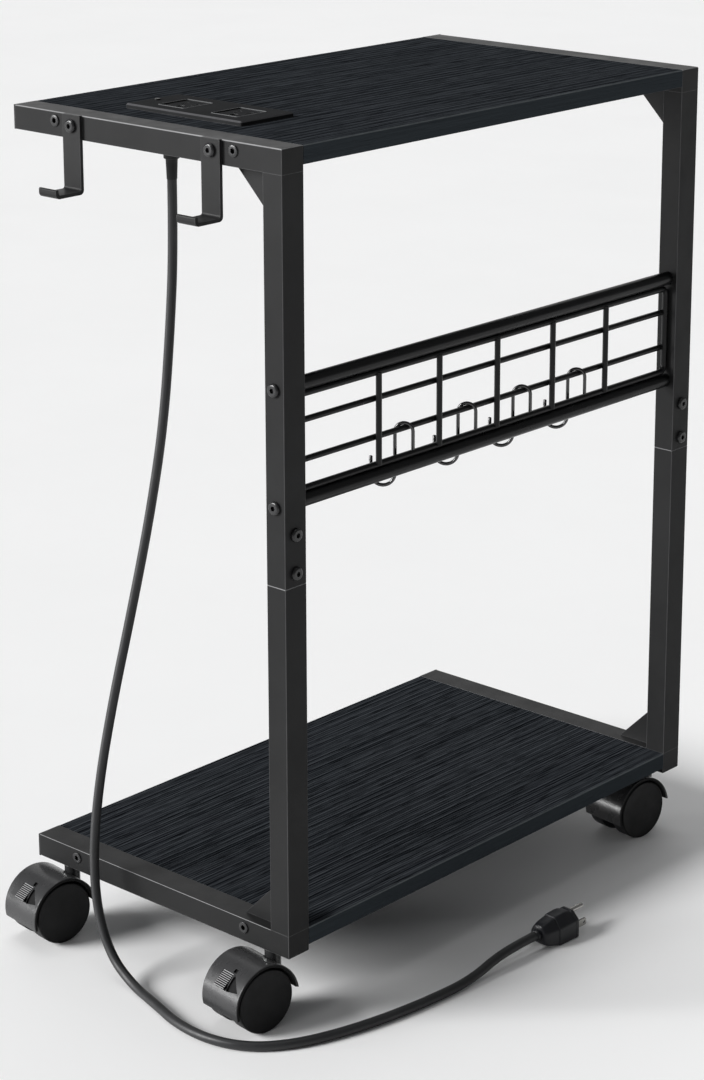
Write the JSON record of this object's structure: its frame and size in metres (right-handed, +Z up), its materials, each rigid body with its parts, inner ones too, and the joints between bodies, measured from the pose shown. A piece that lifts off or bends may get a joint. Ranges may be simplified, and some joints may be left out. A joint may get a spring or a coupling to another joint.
{
  "type": "computer tower cart",
  "caption": "Rolling two-shelf steel and wood cart for a desktop computer, with a side guard grid, hooks, a built-in power outlet and swivel casters.",
  "frame": {"origin": "on the floor under the middle of the cart's box, without the cord", "axes": "+Z up, +Y towards the back, +X towards the side with the posts and the guard grid"},
  "size_m": [0.3724, 0.5966, 0.7273],
  "materials": {
    "frame_steel": "black powder coat, fine satin texture",
    "grid_steel": "black powder coat, satin",
    "hook_wire": "glossy black",
    "fastener": "black oxide, semi-gloss",
    "board": "black wood-grain laminate, satin",
    "zinc_steel": "zinc plated",
    "black_plastic": "moulded black",
    "outlet_plastic": "moulded black, fine satin",
    "breaker_plastic": "moulded",
    "button_plastic": "moulded black",
    "contact_brass": "brass",
    "cord_jacket": "matte vinyl jacket",
    "plug_rubber": "matte moulded vinyl",
    "plug_metal": "nickel plated",
    "caster_hood": "satin moulded",
    "caster_wheel": "moulded nylon",
    "caster_lever": "moulded"
  },
  "bodies": {
    "root": {"back_bottom_rail": "frame_steel", "back_post_lower": "frame_steel", "back_post_upper": "frame_steel", "back_top_rail": "frame_steel", "bottom_shelf": "board", "caster_stems": "zinc_steel", "cord_gland": "cord_jacket", "corner_gussets": "frame_steel", "front_bottom_rail": "frame_steel", "front_post_lower": "frame_steel", "front_post_upper": "frame_steel", "front_top_rail": "frame_steel", "grid_cross_wires": "grid_steel", "grid_inner_rods": "grid_steel", "grid_long_wires": "grid_steel", "grid_screws": "fastener", "grid_tube_lower": "grid_steel", "grid_tube_upper": "grid_steel", "headphone_hook_left": "frame_steel", "headphone_hook_right": "frame_steel", "headphone_hook_screws": "fastener", "outlet_box": "black_plastic", "outlet_faceplate": "outlet_plastic", "overload_breaker": "breaker_plastic", "plug_body": "plug_rubber", "plug_pins": "plug_metal", "post_sleeves": "frame_steel", "power_cord": "cord_jacket", "rail_caps": "black_plastic", "receptacle_contacts": "contact_brass", "receptacles": "outlet_plastic", "shelf_screws": "fastener", "sleeve_screws": "fastener", "threaded_inserts": "zinc_steel", "top_shelf": "board", "weld_nuts": "zinc_steel"},
    "caster_front_left": {"caster_front_left_hood": "caster_hood", "caster_front_left_axle": "zinc_steel"},
    "caster_front_left_wheel_a_body": {"caster_front_left_wheel_a": "caster_wheel"},
    "caster_front_left_wheel_b_body": {"caster_front_left_wheel_b": "caster_wheel"},
    "caster_front_left_brake": {"caster_front_left_brake_lever": "caster_lever"},
    "caster_front_right": {"caster_front_right_hood": "caster_hood", "caster_front_right_axle": "zinc_steel"},
    "caster_front_right_wheel_a_body": {"caster_front_right_wheel_a": "caster_wheel"},
    "caster_front_right_wheel_b_body": {"caster_front_right_wheel_b": "caster_wheel"},
    "caster_front_right_brake": {"caster_front_right_brake_lever": "caster_lever"},
    "caster_back_left": {"caster_back_left_hood": "caster_hood", "caster_back_left_axle": "zinc_steel"},
    "caster_back_left_wheel_a_body": {"caster_back_left_wheel_a": "caster_wheel"},
    "caster_back_left_wheel_b_body": {"caster_back_left_wheel_b": "caster_wheel"},
    "caster_back_right": {"caster_back_right_hood": "caster_hood", "caster_back_right_axle": "zinc_steel"},
    "caster_back_right_wheel_a_body": {"caster_back_right_wheel_a": "caster_wheel"},
    "caster_back_right_wheel_b_body": {"caster_back_right_wheel_b": "caster_wheel"},
    "reset_button_body": {"reset_button": "button_plastic"},
    "s_hook_1_body": {"s_hook_1": "hook_wire"},
    "s_hook_2_body": {"s_hook_2": "hook_wire"},
    "s_hook_3_body": {"s_hook_3": "hook_wire"},
    "s_hook_4_body": {"s_hook_4": "hook_wire"}
  },
  "joints": [
    {"name": "front_left_swivel", "type": "hinge", "parent": "root", "child": "caster_front_left", "pos_m": [-0.122, -0.2306, 0.062], "axis": [0, 0, 1], "continuous": true},
    {"name": "front_left_wheel_a_spin", "type": "hinge", "parent": "caster_front_left", "child": "caster_front_left_wheel_a_body", "pos_m": [-0.12499, -0.25492, 0.027], "axis": [0.9925, -0.1219, 0], "continuous": true},
    {"name": "front_left_wheel_b_spin", "type": "hinge", "parent": "caster_front_left", "child": "caster_front_left_wheel_b_body", "pos_m": [-0.12499, -0.25492, 0.027], "axis": [0.9925, -0.1219, 0], "continuous": true},
    {"name": "front_left_brake", "type": "hinge", "parent": "caster_front_left", "child": "caster_front_left_brake", "pos_m": [-0.12733, -0.27398, 0.0503], "axis": [0.9925, -0.1219, 0], "range_deg": [0, 8]},
    {"name": "front_right_swivel", "type": "hinge", "parent": "root", "child": "caster_front_right", "pos_m": [0.119, -0.2306, 0.062], "axis": [0, 0, 1], "continuous": true},
    {"name": "front_right_wheel_a_spin", "type": "hinge", "parent": "caster_front_right", "child": "caster_front_right_wheel_a_body", "pos_m": [0.11601, -0.25492, 0.027], "axis": [0.9925, -0.1219, 0], "continuous": true},
    {"name": "front_right_wheel_b_spin", "type": "hinge", "parent": "caster_front_right", "child": "caster_front_right_wheel_b_body", "pos_m": [0.11601, -0.25492, 0.027], "axis": [0.9925, -0.1219, 0], "continuous": true},
    {"name": "front_right_brake", "type": "hinge", "parent": "caster_front_right", "child": "caster_front_right_brake", "pos_m": [0.11367, -0.27398, 0.0503], "axis": [0.9925, -0.1219, 0], "range_deg": [0, 8]},
    {"name": "back_left_swivel", "type": "hinge", "parent": "root", "child": "caster_back_left", "pos_m": [-0.122, 0.2754, 0.062], "axis": [0, 0, 1], "continuous": true},
    {"name": "back_left_wheel_a_spin", "type": "hinge", "parent": "caster_back_left", "child": "caster_back_left_wheel_a_body", "pos_m": [-0.12499, 0.25108, 0.027], "axis": [0.9925, -0.1219, 0], "continuous": true},
    {"name": "back_left_wheel_b_spin", "type": "hinge", "parent": "caster_back_left", "child": "caster_back_left_wheel_b_body", "pos_m": [-0.12499, 0.25108, 0.027], "axis": [0.9925, -0.1219, 0], "continuous": true},
    {"name": "back_right_swivel", "type": "hinge", "parent": "root", "child": "caster_back_right", "pos_m": [0.119, 0.2754, 0.062], "axis": [0, 0, 1], "continuous": true},
    {"name": "back_right_wheel_a_spin", "type": "hinge", "parent": "caster_back_right", "child": "caster_back_right_wheel_a_body", "pos_m": [0.11601, 0.25108, 0.027], "axis": [0.9925, -0.1219, 0], "continuous": true},
    {"name": "back_right_wheel_b_spin", "type": "hinge", "parent": "caster_back_right", "child": "caster_back_right_wheel_b_body", "pos_m": [0.11601, 0.25108, 0.027], "axis": [0.9925, -0.1219, 0], "continuous": true},
    {"name": "reset_press", "type": "slide", "parent": "root", "child": "reset_button_body", "axis": [0, 0, -1], "range_m": [0, 0.001], "stiffness_N_per_m": 300, "springref_m": -0.001},
    {"name": "s_hook_1_swing", "type": "hinge", "parent": "root", "child": "s_hook_1_body", "pos_m": [0.136, -0.0896, 0.4715], "axis": [0, 1, 0], "range_deg": [0, 60]},
    {"name": "s_hook_2_swing", "type": "hinge", "parent": "root", "child": "s_hook_2_body", "pos_m": [0.136, -0.0106, 0.4715], "axis": [0, 1, 0], "range_deg": [0, 60]},
    {"name": "s_hook_3_swing", "type": "hinge", "parent": "root", "child": "s_hook_3_body", "pos_m": [0.136, 0.0614, 0.4715], "axis": [0, 1, 0], "range_deg": [0, 60]},
    {"name": "s_hook_4_swing", "type": "hinge", "parent": "root", "child": "s_hook_4_body", "pos_m": [0.136, 0.1364, 0.4715], "axis": [0, 1, 0], "range_deg": [0, 60]}
  ]
}
